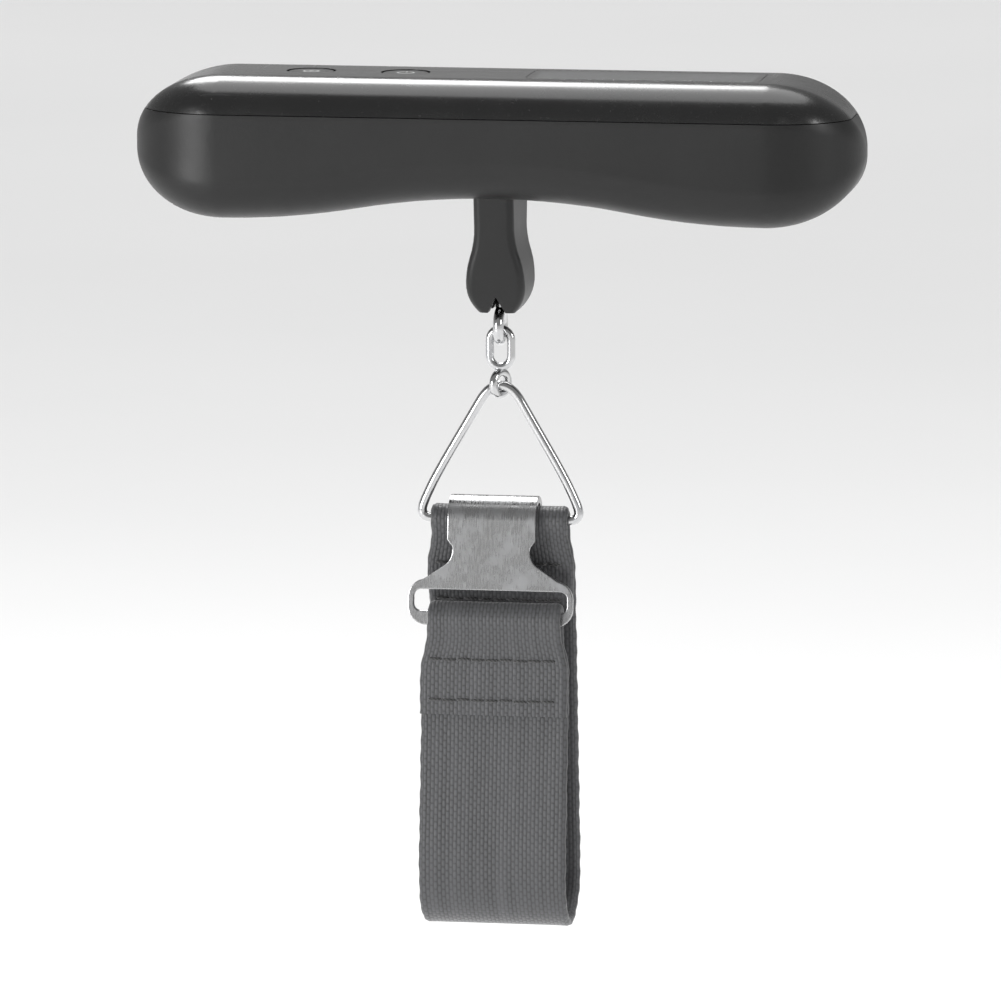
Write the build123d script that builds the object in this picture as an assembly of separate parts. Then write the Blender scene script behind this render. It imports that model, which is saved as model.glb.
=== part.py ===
from build123d import *
import os
from math import cos, radians, sin, sqrt, tan

os.makedirs("parts", exist_ok=True)

# A hand-held digital luggage scale. +X runs along the grip bar, +Z is up, and -Y faces the viewer.
# The origin is the centre of the grip bar, where the hand holds it. All sizes are millimetres.

# ---- grip bar -------------------------------------------------------------------------------
BAR_HALF_LENGTH = 61.5
BAR_HALF_DEPTH = 15.0
BAR_TOP = 12.0
BAR_END_LENGTH = 16.0
LOBE_BOTTOM = -12.0
WAIST_BOTTOM = -8.0
BAR_EDGE_RADIUS = 7.0
DOME_ANGLES = (0, 12, 24, 36, 48, 59, 69, 78, 86)
WALL = 2.0
SEAM_Z = 6.0
SEAM_GAP = 0.15

SKIRT_GAP = 0.12
SKIRT_WALL = 0.8
SKIRT_DROP = 1.6

# ---- stem under the bar ---------------------------------------------------------------------
STEM_WALL = 1.3
NECK_HALF_WIDTH = 3.4
BULB_HALF_WIDTH = 5.0
NECK_END_Z = -13.0
BULB_Z = -23.0
STEM_BOTTOM = -27.7
STEM_TOP = -5.0
STEM_TOP_HALF_DEPTH = 9.0
STEM_LOW_HALF_DEPTH = 7.0
STEM_LOW_Z = -20.0
STEM_MOUTH_RADIUS = 2.3
STEM_FOOT = 0.6
STEM_CORNER_RADIUS = 1.3
NOTCH_HALF_WIDTH = 1.5
NOTCH_HEIGHT = 3.0

# ---- display and keys -----------------------------------------------------------------------
LENS_CENTER_X = 24.6
LENS_LENGTH = 39.0
LENS_WIDTH = 13.0
LENS_THICKNESS = 1.0
LENS_GAP = 0.1
LENS_LEDGE = 1.2
LENS_CORNER_RADIUS = 1.8
LCD_LENGTH = 42.0
LCD_WIDTH = 15.0
LCD_TOP = 9.9
LCD_THICKNESS = 1.8
BACKLIGHT_THICKNESS = 1.2
FRAME_WALL = 0.8
ZEBRA_WIDTH = 2.2
KEY_X = {"power": -16.0, "unit": -32.0}
KEY_RADIUS = 4.0
KEY_GAP = 0.15
KEY_FLANGE_RADIUS = 4.8
KEY_TOP = 11.9
SWITCH_SIZE = 6.0
SWITCH_HEIGHT = 2.6
PLUNGER_RADIUS = 1.6
PLUNGER_TOP = 7.7
PLUNGER_LENGTH = 2.0

# ---- circuit board --------------------------------------------------------------------------
BOARD_LEFT = -52.0
BOARD_RIGHT = 47.5
BOARD_HALF_WIDTH = 9.5
BOARD_BOTTOM = 3.2
BOARD_THICKNESS = 1.2
BOARD_TOP = BOARD_BOTTOM + BOARD_THICKNESS

PROCESSOR_SPOT = (-3.5, 6.0)
PROCESSOR_RADIUS = 3.2
PROCESSOR_HEIGHT = 1.2
AMPLIFIER_X = 12.0
AMPLIFIER_SIZE = (5.0, 4.0, 1.4)
CAPACITOR_X = (18.0, 22.0, 26.0, 30.0)
CAPACITOR_Y = -3.8
CAPACITOR_SIZE = (1.6, 0.8, 0.8)

# ---- casing screws --------------------------------------------------------------------------
SCREW_SPOTS = [(-24.0, -6.2), (-24.0, 6.2), (51.5, -5.0), (51.5, 5.0)]
SCREW_RADIUS = 1.0
SCREW_HEAD_RADIUS = 1.9
SCREW_HEAD_HEIGHT = 1.3
LOWER_BOSS_RADIUS = 3.0
POST_RADIUS = 2.2
SCREW_SEAT_Z = -7.4
SCREW_TIP_Z = 8.4
SCREW_HOLE_GAP = 0.1
PILOT_GAP = 0.05

# ---- coin cell ------------------------------------------------------------------------------
CELL_X = -44.0
CELL_RADIUS = 10.0
CELL_BOTTOM = -6.8
CELL_THICKNESS = 3.2
HOLDER_WALL = 0.9
HOLDER_GAP = 0.3
CONTACT_HALF = 1.8
CONTACT_THICKNESS = 0.24
LEAF_HALF = 1.5
LEAF_HALF_LENGTH = 4.0
DOOR_LEFT = -54.5
DOOR_RIGHT = -33.5
DOOR_HALF_WIDTH = 9.5
DOOR_GAP = 0.35
DOOR_CUT_Z = -6.0
DOOR_CORNER_RADIUS = 2.0
DOOR_PAD_RADIUS = 5.5

# ---- load cell ------------------------------------------------------------------------------
CELL_PLATE_HALF_THICKNESS = 1.25
CELL_PLATE_HALF_WIDTH = 5.6
CELL_PLATE_TOP = 1.5
CELL_PLATE_BOTTOM = -19.9
UPPER_PIN_Z = -2.2
UPPER_PIN_RADIUS = 1.5
UPPER_PIN_HALF = 6.0
CHEEK_GAP = 0.15
CHEEK_OUTER = 5.5
CHEEK_HALF_DEPTH = 5.5
CHEEK_TOP = 1.0
LOWER_PIN_Z = -17.4
LOWER_PIN_RADIUS = 1.1
WINDOW_RADIUS = 2.3
WINDOW_OFFSET = 4.6
GAUGE_THICKNESS = 0.2
WIRE_RADIUS = 0.3
YOKE_HALF_WIDTH = 2.25
YOKE_INNER_HALF_WIDTH = 1.5
YOKE_HALF_DEPTH = 2.6
YOKE_TOP = -15.4
YOKE_BAR_TOP = -21.7
YOKE_BAR_BOTTOM = -23.4
YOKE_CORNER_RADIUS = 0.5

# ---- eye, link and ring ---------------------------------------------------------------------
EYE_WIRE = 0.9
EYE_RADIUS = 2.4
EYE_Z = -30.35
SHANK_RADIUS = 0.8
SHANK_GAP = 0.08
SHANK_HEAD_RADIUS = 1.4
SHANK_HEAD_TOP = -20.5
SHANK_HEAD_BOTTOM = -21.6
LINK_WIRE = 0.7
LINK_ARC_RADIUS = 1.8
LINK_STRAIGHT = 2.8
LINK_LOOP_RADIUS = 1.9
LINK_TWIST = 60.0
LINK_PIVOT_Z = EYE_Z - EYE_RADIUS
LOOP_Z = LINK_PIVOT_Z - LINK_STRAIGHT - LINK_ARC_RADIUS - 0.9 - LINK_LOOP_RADIUS
RING_WIRE = 0.85
RING_PLAY = 0.25
RING_APEX_RADIUS = 3.0
RING_APEX_Z = LOOP_Z - LINK_LOOP_RADIUS + LINK_WIRE + RING_WIRE + RING_PLAY
RING_APEX_HALF_ANGLE = 30.0
RING_SHOULDER_Z = -58.0
RING_SHOULDER_RADIUS = 8.0
RING_BASE_Z = -63.2
RING_BASE_HALF_WIDTH = 14.0
RING_CORNER_RADIUS = 1.5

# ---- webbing strap and its clip -------------------------------------------------------------
WEB_HALF_WIDTH = 12.5
WEB = 1.6
BAR_EYE_INNER = 1.05
BAR_EYE_HALF_WIDTH = 11.7
REAR_TAIL_LENGTH = 16.5
LOOP_CENTER = (-0.5, -123.0)
LOOP_INNER_RADIUS = 7.6
CLIP_THICKNESS = 1.2
CLIP_SHIFT_X = -0.9
CLIP_LEAN = 6.0
HOOK_INNER_RADIUS = 2.9
HOOK_TIP_Z = -64.7
TONGUE_HALF_WIDTH = 7.5
NECK_HALF = 6.6
FRAME_HALF_WIDTH = 14.0
FRAME_TOP = -73.2
FRAME_BOTTOM = -81.0
SLOT_TOP = -75.0
SLOT_BOTTOM = -78.6
SLOT_HALF_WIDTH = 13.0
SLOT_END_RADIUS = 1.2
SHOULDER_RISE = 3.2
SHOULDER_INSET = 2.4
SHOULDER_BEND = 3.0
FRAME_END_RADIUS = 3.2
FOLD_INNER = 1.5
FOLD_HALF_WIDTH = 11.4
FRONT_TAIL_LENGTH = 16.2
STRAP_SPLIT_Z = -119.0
STRAP_SPLIT_GAP = 0.3
STITCH_RADIUS = 0.22
STITCH_PITCH = 2.4
STITCH_COUNT = 9
FRONT_STITCH_AT = (6.8, 13.8)
REAR_STITCH_AT = (13.5,)

# ---- where the two straight runs of the strap begin and end, as (y, z) -------------------------
LEAN = radians(CLIP_LEAN)
PLATE_Y = -HOOK_INNER_RADIUS - CLIP_THICKNESS / 2
SLOT_BAR_DROP = (SLOT_BOTTOM + FRAME_BOTTOM) / 2 - RING_BASE_Z
REAR_START = (0.0, RING_BASE_Z)
REAR_END = (LOOP_CENTER[0] + LOOP_INNER_RADIUS + WEB / 2, LOOP_CENTER[1])
FRONT_START = (
    PLATE_Y * cos(LEAN) + SLOT_BAR_DROP * sin(LEAN),
    RING_BASE_Z + SLOT_BAR_DROP * cos(LEAN) - PLATE_Y * sin(LEAN),
)
FRONT_END = (LOOP_CENTER[0] - LOOP_INNER_RADIUS - WEB / 2, STRAP_SPLIT_Z)


def box(low, high):
    """A block between two corners."""
    size = [top - bottom for bottom, top in zip(low, high)]
    middle = [(top + bottom) / 2 for bottom, top in zip(low, high)]
    return Pos(*middle) * Box(*size)


def rod(x, y, bottom, top, radius):
    """An upright round rod."""
    return Pos(x, y, (bottom + top) / 2) * Cylinder(radius, top - bottom)


def cross_rod(z, half_length, radius):
    """A round rod along X through the load line."""
    return Pos(0, 0, z) * Rot(0, 90, 0) * Cylinder(radius, 2 * half_length)


def wire_sweep(path, radius):
    """A round wire along a path."""
    start = Plane(origin=path @ 0, z_dir=path % 0)
    return sweep(start * Circle(radius), path=path)


def bar_middle(inset):
    """The bar between its two domes, shrunk by inset: flat top and arched underside."""
    flat = BAR_HALF_LENGTH - BAR_END_LENGTH
    top = BAR_TOP - inset
    low = LOBE_BOTTOM + inset
    waist = WAIST_BOTTOM + inset
    turn_z = (low + waist) / 2
    step = waist - low
    arch = ((flat / 2) ** 2 + (step / 2) ** 2) / step
    sag = arch - sqrt(arch ** 2 - (flat / 4) ** 2)
    with BuildSketch(Plane.XZ) as outline:
        with BuildLine():
            Line((0, top), (flat, top))
            Line((flat, top), (flat, low))
            ThreePointArc((flat, low), (flat * 0.75, low + sag), (flat / 2, turn_z))
            ThreePointArc((flat / 2, turn_z), (flat * 0.25, waist - sag), (0, waist))
            mirror(about=Plane.YZ)
        make_face()
    body = extrude(outline.sketch, BAR_HALF_DEPTH - inset, both=True)
    long_edges = [e for e in body.edges() if abs(e.center().X) < flat - 1 and abs(e.center().Y) > 1]
    return fillet(long_edges, BAR_EDGE_RADIUS - inset)


def bar_dome(inset):
    """The right-hand end of the bar: its section shrinking along a quarter ellipse to the tip."""
    flat = BAR_HALF_LENGTH - BAR_END_LENGTH
    sections = []
    for angle in DOME_ANGLES:
        shrink = cos(radians(angle))
        reach = flat + (BAR_END_LENGTH - inset) * sin(radians(angle))
        width = 2 * (BAR_HALF_DEPTH - inset) * shrink
        height = 2 * (BAR_TOP - inset) * shrink
        outline = RectangleRounded(width, height, (BAR_EDGE_RADIUS - inset) * shrink)
        sections.append(Plane((reach, 0, 0), x_dir=(0, 1, 0), z_dir=(1, 0, 0)) * outline)
    return loft(sections)


def bar_solid(inset):
    """The grip bar's outer shape, or with an inset the space inside its wall."""
    dome = bar_dome(inset)
    return bar_middle(inset) + dome + mirror(dome, about=Plane.YZ)


def stem_solid(inset):
    """The stem: a thin neck seen from the front, swelling to a bulb, and deeper from the side."""
    neck = NECK_HALF_WIDTH - inset
    bulb = BULB_HALF_WIDTH - inset
    low = STEM_BOTTOM + inset
    foot = bulb * STEM_FOOT
    middle_z = (NECK_END_Z + BULB_Z) / 2
    with BuildSketch(Plane.XZ) as front:
        with BuildLine():
            Line((0, STEM_TOP), (neck, STEM_TOP))
            Line((neck, STEM_TOP), (neck, NECK_END_Z))
            first = TangentArc((neck, NECK_END_Z), ((neck + bulb) / 2, middle_z), tangent=(0, -1))
            second = TangentArc(first @ 1, (bulb, BULB_Z), tangent=first % 1)
            TangentArc(second @ 1, (foot, low), tangent=second % 1)
            Line((foot, low), (0, low))
            mirror(about=Plane.YZ)
        make_face()
    deep = STEM_TOP_HALF_DEPTH - inset
    slim = STEM_LOW_HALF_DEPTH - inset
    with BuildSketch(Plane.YZ) as side:
        with BuildLine():
            Line((0, STEM_TOP), (deep, STEM_TOP))
            slope = Line((deep, STEM_TOP), (slim, STEM_LOW_Z))
            TangentArc(slope @ 1, (slim * 0.6, low), tangent=slope % 1)
            Line((slim * 0.6, low), (0, low))
            mirror(about=Plane.YZ)
        make_face()
    wide = extrude(front.sketch, 2 * STEM_TOP_HALF_DEPTH, both=True)
    return wide & extrude(side.sketch, 2 * BULB_HALF_WIDTH, both=True)


def slab(bottom, top):
    """Everything between two heights."""
    return box((-100, -100, bottom), (100, 100, top))


def make_top_cover(outer, inner):
    """The glossy upper shell with its window ledge, key holes, locating skirt and screw posts."""
    shell = (outer - inner) & slab(SEAM_Z, BAR_TOP)
    skirt_inner = bar_solid(WALL + SKIRT_GAP + SKIRT_WALL)
    skirt = (bar_solid(WALL + SKIRT_GAP) - skirt_inner) & slab(SEAM_Z - SKIRT_DROP, SEAM_Z + 0.5)
    bridge = (bar_solid(WALL / 2) - skirt_inner) & slab(SEAM_Z, SEAM_Z + SKIRT_WALL)
    cover = shell + skirt + bridge
    for x, y in SCREW_SPOTS:
        cover += rod(x, y, post_bottom(x), BAR_TOP - WALL + 0.2, POST_RADIUS) & outer
    for x, y in SCREW_SPOTS:
        cover -= rod(x, y, post_bottom(x) - 1, SCREW_TIP_Z + 0.4, SCREW_RADIUS + PILOT_GAP)
    lens_low = BAR_TOP - LENS_THICKNESS
    cover -= lens_block(LENS_GAP, lens_low, BAR_TOP + 1)
    cover -= lens_block(-LENS_LEDGE, LCD_TOP - 1, BAR_TOP)
    for x in KEY_X.values():
        cover -= rod(x, 0, LCD_TOP - 1, BAR_TOP + 1, KEY_RADIUS + KEY_GAP)
    return cover


def post_bottom(x):
    """Where a cover post ends: on the board, or on its boss past the end of the board."""
    return BOARD_TOP if x < BOARD_RIGHT else BOARD_BOTTOM


def lens_block(grow, bottom, top):
    """A block in the place of the display lens, grown on its four sides."""
    half_x = LENS_LENGTH / 2 + grow
    half_y = LENS_WIDTH / 2 + grow
    block = box((LENS_CENTER_X - half_x, -half_y, bottom), (LENS_CENTER_X + half_x, half_y, top))
    return fillet(block.edges().filter_by(Axis.Z), LENS_CORNER_RADIUS + grow)


def door_block(gap):
    """The space of the battery door in the left lobe's underside."""
    low = (DOOR_LEFT + gap, -DOOR_HALF_WIDTH + gap, LOBE_BOTTOM - 1)
    high = (DOOR_RIGHT - gap, DOOR_HALF_WIDTH - gap, DOOR_CUT_Z)
    return fillet(box(low, high).edges().filter_by(Axis.Z), DOOR_CORNER_RADIUS - gap)


def make_lower_housing(outer, inner):
    """The satin lower shell in one piece with the stem, its bosses and load-cell cheeks."""
    stem = stem_solid(0)
    corners = [e for e in stem.edges() if abs(e.center().X) > 1.9 and abs(e.center().Y) > 3.5]
    corners = [e for e in corners if e.center().Z < STEM_TOP - 0.5]
    stem = fillet(corners, STEM_CORNER_RADIUS)
    shell = (outer & slab(LOBE_BOTTOM, SEAM_Z - SEAM_GAP)) + stem - inner
    for side in (-1, 1):
        faces = sorted((side * (CELL_PLATE_HALF_THICKNESS + CHEEK_GAP), side * CHEEK_OUTER))
        low = (faces[0], -CHEEK_HALF_DEPTH, WAIST_BOTTOM + WALL / 2)
        shell += box(low, (faces[1], CHEEK_HALF_DEPTH, CHEEK_TOP))
    for x, y in SCREW_SPOTS:
        shell += rod(x, y, LOBE_BOTTOM, BOARD_BOTTOM, LOWER_BOSS_RADIUS) & outer
    shell -= stem_solid(STEM_WALL)
    shell -= cross_rod(UPPER_PIN_Z, UPPER_PIN_HALF, UPPER_PIN_RADIUS + PILOT_GAP)
    for x, y in SCREW_SPOTS:
        shell -= rod(x, y, LOBE_BOTTOM - 1, SCREW_SEAT_Z, SCREW_HEAD_RADIUS + SCREW_HOLE_GAP)
        shell -= rod(x, y, SCREW_SEAT_Z - 1, BOARD_BOTTOM + 1, SCREW_RADIUS + SCREW_HOLE_GAP)
    shell -= door_block(0)
    shell -= rod(0, 0, STEM_BOTTOM - 1, STEM_BOTTOM + 3, STEM_MOUTH_RADIUS)
    notch = Polygon((-NOTCH_HALF_WIDTH, 0), (NOTCH_HALF_WIDTH, 0), (0, NOTCH_HEIGHT), align=None)
    shell -= Pos(0, 0, STEM_BOTTOM) * extrude(Plane.XZ * notch, 20, both=True)
    return shell


def make_battery_door(outer, inner):
    """The door cut from the same wall, with a pad that holds the coin cell up."""
    door = (outer - inner) & door_block(DOOR_GAP)
    pad = rod(CELL_X, 0, LOBE_BOTTOM + WALL - 0.2, CELL_BOTTOM - 0.1, DOOR_PAD_RADIUS)
    grip = Pos(DOOR_LEFT + 3.2, 0, LOBE_BOTTOM + 0.4) * Rot(90, 0, 0) * Cylinder(0.8, 8)
    return door + pad - grip


def make_lens():
    """The clear display window, flush with the cover."""
    return lens_block(0, BAR_TOP - LENS_THICKNESS, BAR_TOP)


def display_layer(half_x, half_y, bottom, top):
    """A rectangular layer centred under the lens."""
    return box((LENS_CENTER_X - half_x, -half_y, bottom), (LENS_CENTER_X + half_x, half_y, top))


def make_display():
    """Liquid-crystal glass, backlight, holding frame and elastomer strip, from the top down."""
    half_x = LCD_LENGTH / 2
    half_y = LCD_WIDTH / 2
    glass_low = LCD_TOP - LCD_THICKNESS
    light_low = glass_low - BACKLIGHT_THICKNESS
    frame = display_layer(half_x + FRAME_WALL, half_y + FRAME_WALL, BOARD_TOP, LCD_TOP - 0.4)
    frame -= display_layer(half_x + 0.1, half_y + 0.1, BOARD_TOP - 1, LCD_TOP)
    strip = box(
        (LENS_CENTER_X - 18, half_y - ZEBRA_WIDTH, BOARD_TOP),
        (LENS_CENTER_X + 18, half_y - 0.2, glass_low),
    )
    light = box(
        (LENS_CENTER_X - half_x, -half_y, light_low),
        (LENS_CENTER_X + half_x, half_y - ZEBRA_WIDTH - 0.2, glass_low),
    )
    return {
        "lcd_glass": display_layer(half_x, half_y, glass_low, LCD_TOP),
        "lcd_backlight": light,
        "lcd_frame": frame,
        "zebra_connector": strip,
    }


def make_key(x):
    """A round key cap with a retaining flange and a stem down to its switch plunger."""
    cap = rod(x, 0, LCD_TOP - 0.8, KEY_TOP, KEY_RADIUS)
    cap = fillet(cap.faces().sort_by(Axis.Z)[-1].edges(), 0.4)
    flange = rod(x, 0, LCD_TOP - 0.9, LCD_TOP - 0.1, KEY_FLANGE_RADIUS)
    stem = rod(x, 0, PLUNGER_TOP, LCD_TOP - 0.5, PLUNGER_RADIUS + 0.4)
    return cap + flange + stem


def make_switch(x):
    """A tactile switch body with the bore that its plunger travels in."""
    half = SWITCH_SIZE / 2
    body = box((x - half, -half, BOARD_TOP), (x + half, half, BOARD_TOP + SWITCH_HEIGHT))
    return body - rod(x, 0, BOARD_TOP + 0.6, BOARD_TOP + 5, PLUNGER_RADIUS + 0.06)


def make_board():
    """The circuit board with clearance holes for the left pair of cover posts."""
    low = (BOARD_LEFT, -BOARD_HALF_WIDTH, BOARD_BOTTOM)
    high = (BOARD_RIGHT, BOARD_HALF_WIDTH, BOARD_TOP)
    board = fillet(box(low, high).edges().filter_by(Axis.Z), 2.0)
    for x, y in SCREW_SPOTS[:2]:
        board -= rod(x, y, BOARD_BOTTOM - 1, BOARD_TOP + 1, SCREW_RADIUS + SCREW_HOLE_GAP)
    return board


def under_board(x, y, size):
    """A chip soldered to the underside of the board: its place and its size."""
    half_x = size[0] / 2
    half_y = size[1] / 2
    low = (x - half_x, y - half_y, BOARD_BOTTOM - size[2])
    return box(low, (x + half_x, y + half_y, BOARD_BOTTOM))


def make_battery():
    """Coin cell, its open-bottomed holder with four feet on the board, and two contact strips."""
    cell = rod(CELL_X, 0, CELL_BOTTOM, CELL_BOTTOM + CELL_THICKNESS, CELL_RADIUS)
    cell = fillet(cell.edges(), 0.3)
    cell_top = CELL_BOTTOM + CELL_THICKNESS
    cap_low = cell_top + 0.4
    outer_radius = CELL_RADIUS + HOLDER_GAP + HOLDER_WALL
    holder = rod(CELL_X, 0, CELL_BOTTOM + 0.2, cap_low + HOLDER_WALL, outer_radius)
    holder -= rod(CELL_X, 0, CELL_BOTTOM - 1, cap_low, CELL_RADIUS + HOLDER_GAP)
    for angle in (45, 135, 225, 315):
        foot_x = CELL_X + (outer_radius - 1.4) * cos(radians(angle))
        foot_y = (outer_radius - 1.4) * sin(radians(angle))
        holder += rod(foot_x, foot_y, cap_low, BOARD_BOTTOM, 1.0)
    rim = CELL_X + CELL_RADIUS
    strip_x = rim + 0.02
    strip_low = (strip_x, -CONTACT_HALF, CELL_BOTTOM + 0.5)
    side_strip = box(strip_low, (strip_x + CONTACT_THICKNESS, CONTACT_HALF, BOARD_BOTTOM))
    leaf_low = cell_top + 0.05
    leaf_end = CELL_X + LEAF_HALF_LENGTH
    leaf_start = CELL_X - LEAF_HALF_LENGTH
    leaf = box((leaf_start, -LEAF_HALF, leaf_low), (leaf_end, LEAF_HALF, leaf_low + CONTACT_THICKNESS))
    leaf += box((leaf_end - CONTACT_THICKNESS, -LEAF_HALF, leaf_low), (leaf_end, LEAF_HALF, BOARD_BOTTOM))
    strip_space = CONTACT_HALF + 0.2
    leaf_space = LEAF_HALF + 0.2
    holder -= box((rim - 0.1, -strip_space, CELL_BOTTOM - 1), (rim + 0.3, strip_space, cap_low + 2))
    holder -= box((leaf_end - 0.4, -leaf_space, cap_low - 1), (leaf_end + 0.2, leaf_space, cap_low + 2))
    return {
        "coin_cell": cell,
        "battery_holder": holder,
        "battery_contact_positive": side_strip,
        "battery_contact_negative": leaf,
    }


def make_load_cell():
    """The steel sensing plate: two round windows joined by a slot, and a hole for each pin."""
    plate = box(
        (-CELL_PLATE_HALF_THICKNESS, -CELL_PLATE_HALF_WIDTH, CELL_PLATE_BOTTOM),
        (CELL_PLATE_HALF_THICKNESS, CELL_PLATE_HALF_WIDTH, CELL_PLATE_TOP),
    )
    plate = fillet(plate.edges().filter_by(Axis.X), 1.5)
    plate -= cross_rod(UPPER_PIN_Z, 5, UPPER_PIN_RADIUS + PILOT_GAP)
    plate -= cross_rod(LOWER_PIN_Z, 5, LOWER_PIN_RADIUS + PILOT_GAP)
    windows = [UPPER_PIN_Z - WINDOW_OFFSET, LOWER_PIN_Z + WINDOW_OFFSET]
    for z in windows:
        plate -= cross_rod(z, 5, WINDOW_RADIUS)
    plate -= box((-5, -0.5, windows[1]), (5, 0.5, windows[0]))
    return plate


def make_gauges_and_wires():
    """Four foil strain gauges on the plate's edges and the four thin wires up to the board."""
    gauges = []
    wires = []
    for side in (-1, 1):
        edge = side * CELL_PLATE_HALF_WIDTH
        skin = edge + side * GAUGE_THICKNESS
        for z in (UPPER_PIN_Z - WINDOW_OFFSET, LOWER_PIN_Z + WINDOW_OFFSET):
            gauges.append(box((-1, min(edge, skin), z - 1.6), (1, max(edge, skin), z + 1.6)))
        for x in (-0.6, 0.6):
            wires.append(rod(x, skin + side * 0.32, UPPER_PIN_Z - 5.5, BOARD_BOTTOM, WIRE_RADIUS))
    return Compound(children=gauges), Compound(children=wires)


def make_hanger():
    """The small yoke on the plate's lower pin, which carries the turning eye bolt."""
    low = (-YOKE_HALF_WIDTH, -YOKE_HALF_DEPTH, YOKE_BAR_BOTTOM)
    yoke = box(low, (YOKE_HALF_WIDTH, YOKE_HALF_DEPTH, YOKE_TOP))
    yoke = fillet(yoke.edges().filter_by(Axis.Z), YOKE_CORNER_RADIUS)
    inner = YOKE_INNER_HALF_WIDTH
    gap_low = (-inner, -YOKE_HALF_DEPTH - 1, YOKE_BAR_TOP)
    yoke -= box(gap_low, (inner, YOKE_HALF_DEPTH + 1, YOKE_TOP + 1))
    yoke -= cross_rod(LOWER_PIN_Z, 5, LOWER_PIN_RADIUS + PILOT_GAP)
    yoke -= rod(0, 0, YOKE_BAR_BOTTOM - 1, YOKE_BAR_TOP + 1, SHANK_RADIUS + SHANK_GAP)
    return yoke


def make_load_eye():
    """The eye bolt: a flat head inside the yoke, a round shank and a ring standing fore and aft."""
    eye = Pos(0, 0, EYE_Z) * Rot(0, 90, 0) * Torus(EYE_RADIUS, EYE_WIRE)
    shank = rod(0, 0, EYE_Z + EYE_RADIUS - 0.3, SHANK_HEAD_BOTTOM + 0.2, SHANK_RADIUS)
    head = rod(0, 0, SHANK_HEAD_BOTTOM, SHANK_HEAD_TOP, SHANK_HEAD_RADIUS)
    return eye + shank + head


def make_link():
    """The twisted wire link: an upright oval on the eye over a round loop turned by the twist."""
    top_z = LINK_PIVOT_Z
    low_z = top_z - LINK_STRAIGHT
    reach = LINK_ARC_RADIUS
    with BuildLine(Plane.XZ) as oval:
        Line((reach, low_z), (reach, top_z))
        ThreePointArc((reach, top_z), (0, top_z + reach), (-reach, top_z))
        Line((-reach, top_z), (-reach, low_z))
        ThreePointArc((-reach, low_z), (0, low_z - reach), (reach, low_z))
    upper = wire_sweep(oval.wire(), LINK_WIRE)
    turned = Pos(0, 0, LOOP_Z) * Rot(0, 0, LINK_TWIST) * Rot(90, 0, 0)
    lower = turned * Torus(LINK_LOOP_RADIUS, LINK_WIRE)
    return upper + lower


def make_ring():
    """The triangular wire ring: small apex bend, long straight legs, bowed shoulders, level base."""
    half_angle = radians(RING_APEX_HALF_ANGLE)
    tip_z = RING_APEX_Z + RING_APEX_RADIUS / sin(half_angle) - RING_APEX_RADIUS
    shoulder_x = (tip_z - RING_SHOULDER_Z) * tan(half_angle)
    corners = [
        (0, tip_z),
        (shoulder_x, RING_SHOULDER_Z),
        (RING_BASE_HALF_WIDTH, RING_BASE_Z),
        (-RING_BASE_HALF_WIDTH, RING_BASE_Z),
        (-shoulder_x, RING_SHOULDER_Z),
    ]
    lower_bends = [RING_SHOULDER_RADIUS, RING_CORNER_RADIUS]
    bends = [RING_APEX_RADIUS] + lower_bends + lower_bends[::-1]
    with BuildLine(Plane.XZ) as outline:
        FilletPolyline(*corners, radius=bends, close=True)
    return wire_sweep(outline.wire(), RING_WIRE)


def web_solid(sketch, half_width):
    """Webbing: a side-view sketch on the YZ plane given the strap's width."""
    return extrude(Plane.YZ * sketch, half_width, both=True)


def taut_run(start, end, side, tail_length, eye_radius):
    """A straight run of webbing with a sewn-down tail at its start, on the inner side of the run."""
    offset = side * WEB / 2
    along = (Vector(*end) - Vector(start[0] + offset, start[1])).normalized()
    run_start = Vector(start[0] + offset, start[1]) + along * eye_radius
    tail = Line(Vector(*start) + along * eye_radius, Vector(*start) + along * tail_length)
    return trace(tail, 2 * WEB) + trace(Line(run_start, Vector(*end)), WEB)


def stitch_point(start, end, side, distance):
    """A point on the outer face of a doubled tail, a distance down from its start."""
    along = (Vector(*end) - Vector(start[0] + side * WEB / 2, start[1])).normalized()
    outward = Vector(-along.Y, along.X) * (WEB + STITCH_RADIUS)
    return Vector(*start) + along * distance - outward * side


def make_strap_rear():
    """The rear run: sewn eye round the ring's base, doubled tail, long run and the bottom bend."""
    bend_y, bend_z = LOOP_CENTER
    reach = LOOP_INNER_RADIUS + WEB / 2
    bottom = ThreePointArc((bend_y + reach, bend_z), (bend_y, bend_z - reach), (bend_y - reach, bend_z))
    up = Line((bend_y - reach, bend_z), (bend_y - reach, STRAP_SPLIT_Z - STRAP_SPLIT_GAP))
    run = taut_run(REAR_START, REAR_END, 1, REAR_TAIL_LENGTH, BAR_EYE_INNER + WEB)
    sketch = run + trace(bottom, WEB) + trace(up, WEB)
    neck = taut_run(REAR_START, REAR_END, 1, BAR_EYE_INNER + 2 * WEB, BAR_EYE_INNER)
    eye = Pos(*REAR_START) * Circle(BAR_EYE_INNER + WEB) + neck
    eye -= Pos(*REAR_START) * Circle(BAR_EYE_INNER)
    return web_solid(sketch, WEB_HALF_WIDTH) + web_solid(eye, BAR_EYE_HALF_WIDTH)


def make_strap_front():
    """The front run: folded over the clip's lower bar and stitched down on itself."""
    run = taut_run(FRONT_START, FRONT_END, 1, FRONT_TAIL_LENGTH, FOLD_INNER + WEB)
    neck = taut_run(FRONT_START, FRONT_END, 1, FOLD_INNER + 2 * WEB, FOLD_INNER)
    eye = Pos(*FRONT_START) * Circle(FOLD_INNER + WEB) + neck
    eye -= Pos(*FRONT_START) * Circle(FOLD_INNER)
    return web_solid(run, WEB_HALF_WIDTH) + web_solid(eye, FOLD_HALF_WIDTH)


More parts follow.
